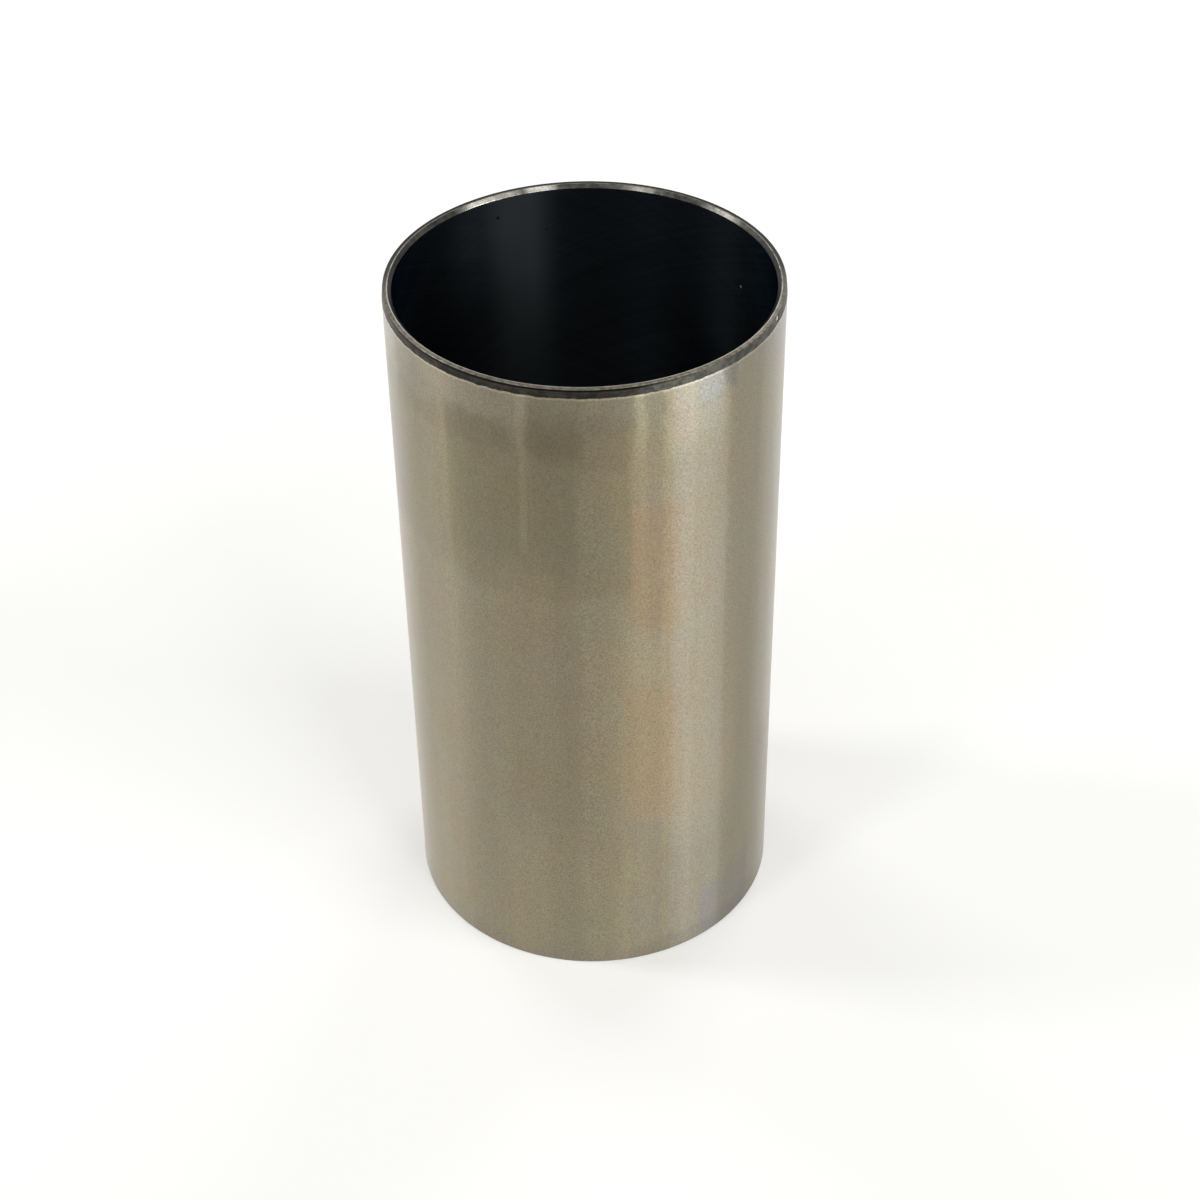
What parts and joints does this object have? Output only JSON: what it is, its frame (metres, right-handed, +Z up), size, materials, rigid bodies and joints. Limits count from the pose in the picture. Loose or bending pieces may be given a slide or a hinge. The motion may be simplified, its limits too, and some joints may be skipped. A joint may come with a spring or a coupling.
{
  "type": "cylinder liner",
  "caption": "Dry cylinder liner: a plain thin-walled sleeve with a ground outside, a tapered lead-in at its upper end and a dark honed bore, pressed into an engine block for a piston to run in.",
  "frame": {"origin": "centre of the lower end face, on the surface the liner stands on", "axes": "+Z up along the bore axis, towards the lead-in end; the handling nick lies 21.8 degrees clockwise of +X, seen from above"},
  "size_m": [0.105, 0.105, 0.2],
  "materials": {
    "liner_iron": "ground satin outside with faint heat tints, as-turned dark lead-in band, near-black honed and phosphated bore"
  },
  "bodies": {
    "root": {"cylinder_liner": "liner_iron"}
  },
  "joints": []
}
